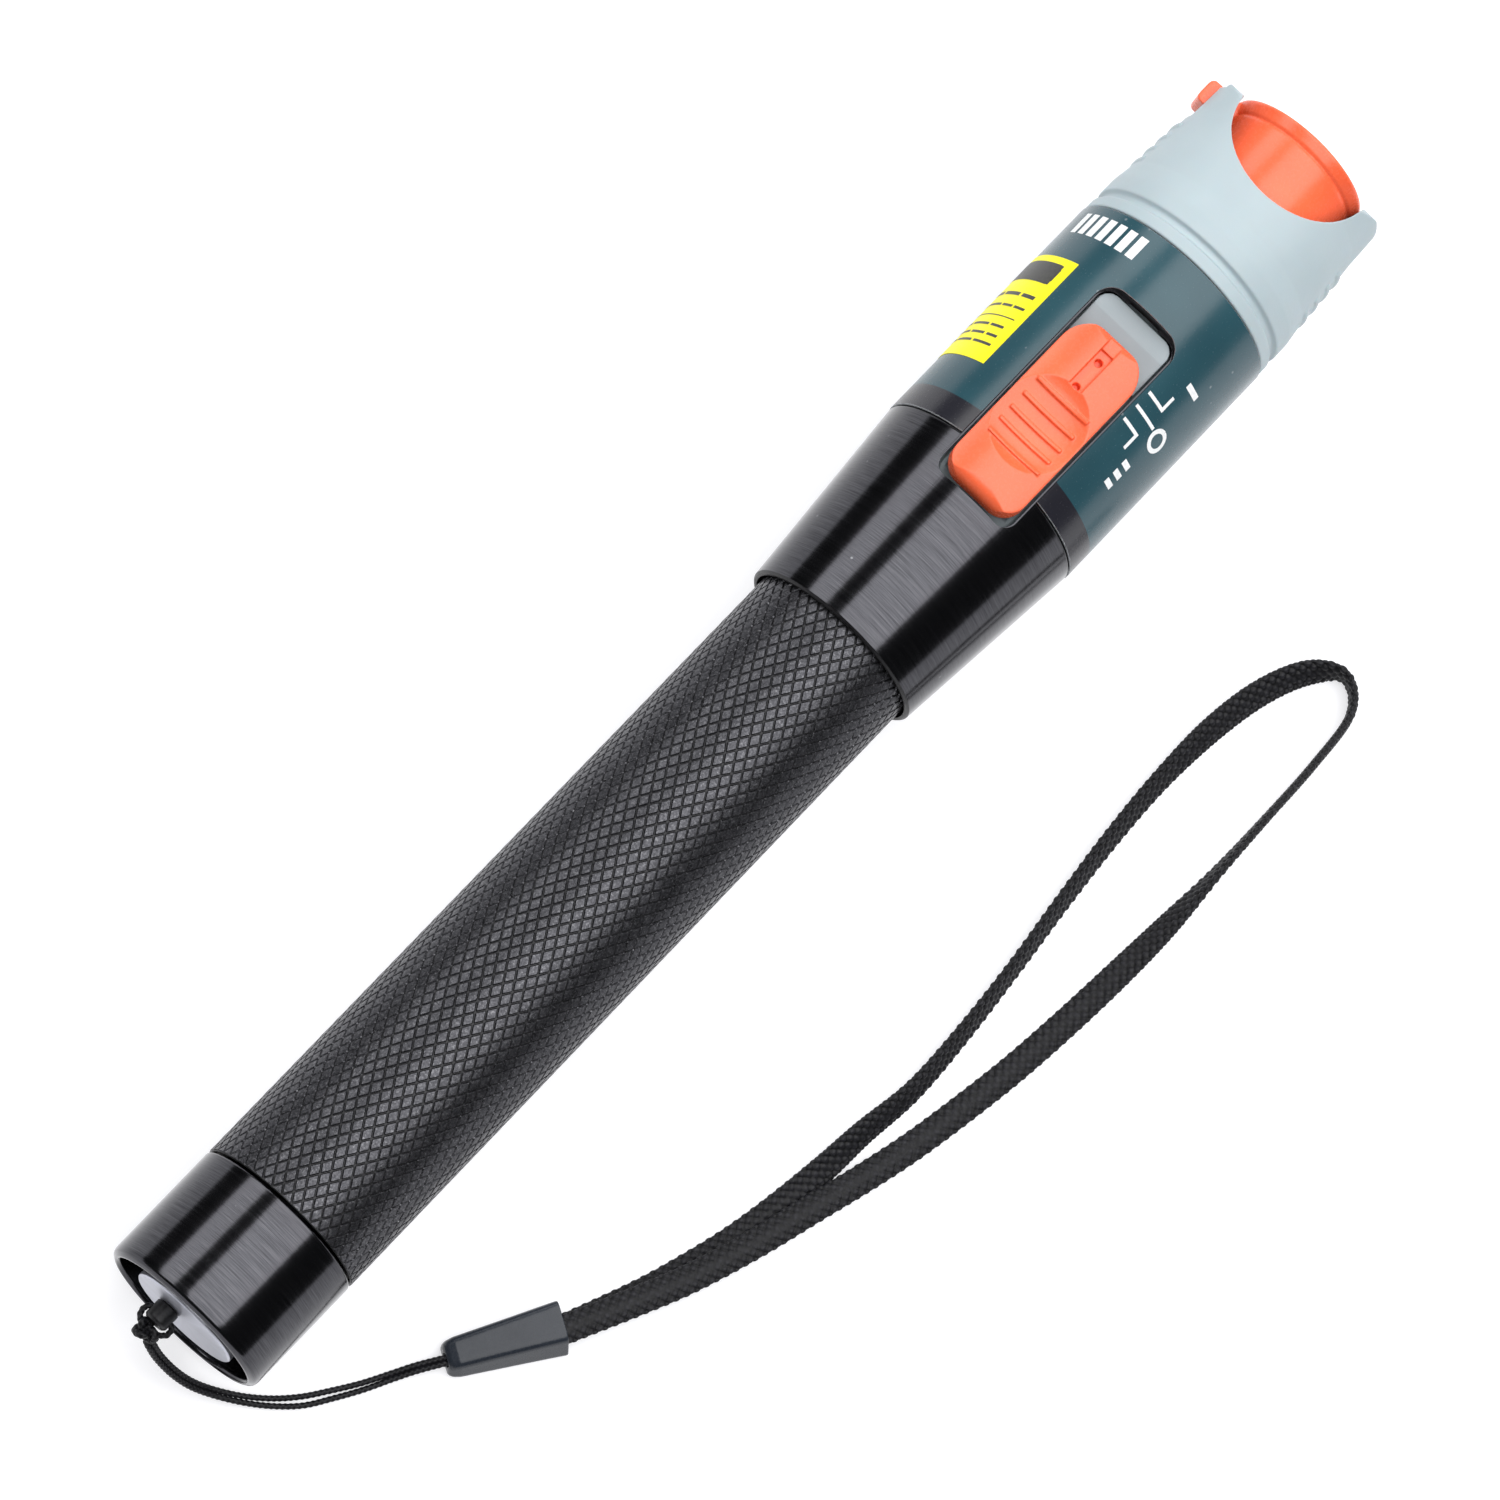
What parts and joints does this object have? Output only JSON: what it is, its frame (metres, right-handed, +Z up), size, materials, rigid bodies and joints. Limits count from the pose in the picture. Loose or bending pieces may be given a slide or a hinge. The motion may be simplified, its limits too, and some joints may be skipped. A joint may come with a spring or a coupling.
{
  "type": "visual fault locator",
  "caption": "Pen-shaped red-laser fibre fault finder: knurled battery tube, slide switch, ferrule port behind a hinged dust cap, and a wrist lanyard on the tail cap.",
  "frame": {"origin": "centre of the bottom face of the bounding box of the tool without its lanyard", "axes": "+X along the tool towards the head, +Z up through the slide button, +Y towards the dust cap's hinge"},
  "size_m": [0.1801, 0.0613, 0.0277],
  "materials": {
    "anodised": "black anodised, circumferentially brushed",
    "label": "satin printed film",
    "yellow": "satin printed film",
    "pale_grey": "satin moulded",
    "orange": "semi-gloss moulded",
    "nickel": "satin nickel plate",
    "steel": "bright",
    "brass": "turned",
    "rubber": "matt",
    "cell_wrap": "printed wrap over a cell can; aluminium gives the cell about its real weight",
    "insulator": "moulded",
    "board": "solder mask",
    "chip": "moulded epoxy",
    "glass": "polished",
    "ceramic": "ground",
    "slate": "semi-gloss moulded",
    "textile": "braided nylon"
  },
  "bodies": {
    "housing": {"grip_tube": "anodised", "contact_carrier": "insulator", "front_contact": "brass", "head_barrel": "anodised", "label_sleeve": "label", "yellow_patch": "yellow", "switch_bed": "pale_grey", "switch_body": "steel", "circuit_board": "board", "board_chip": "chip", "board_regulator": "chip", "board_capacitor": "steel", "board_screw_rear": "steel", "board_screw_front": "steel", "laser_diode": "nickel", "laser_housing": "brass", "laser_lens": "glass", "lens_ring": "brass", "ferrule_port": "nickel", "split_sleeve": "ceramic", "port_nut": "nickel", "front_shroud": "pale_grey", "hinge_pin": "steel"},
    "tail": {"tail_cap": "anodised", "tail_disc": "nickel", "lanyard_post": "anodised", "tail_contact": "brass", "tail_spring": "steel", "tail_o_ring": "rubber", "cord_loop": "textile", "cord_knot": "textile", "cord_run_left": "textile", "cord_run_right": "textile", "lanyard_clip": "slate", "lanyard_strap": "textile"},
    "cells": {"battery_rear": "cell_wrap", "battery_front": "cell_wrap"},
    "button": {"slide_button": "orange", "switch_lever": "insulator"},
    "dust_cap": {"flip_cap": "orange"}
  },
  "joints": [
    {"name": "button_slide", "type": "slide", "parent": "housing", "child": "button", "axis": [1, 0, 0], "range_m": [0, 0.004]},
    {"name": "dust_cap_hinge", "type": "hinge", "parent": "housing", "child": "dust_cap", "pos_m": [0.0864, 0.0101, 0.013], "axis": [0, 0, 1], "range_deg": [0, 170]},
    {"name": "tail_cap_pull", "type": "slide", "parent": "housing", "child": "tail", "axis": [-1, 0, 0], "range_m": [0, 0.13]},
    {"name": "cells_slide", "type": "slide", "parent": "housing", "child": "cells", "axis": [-1, 0, 0], "range_m": [0, 0.104]}
  ],
  "couplings": [
    {"joint": "cells_slide", "follows": "tail_cap_pull", "ratio": 0.8}
  ]
}
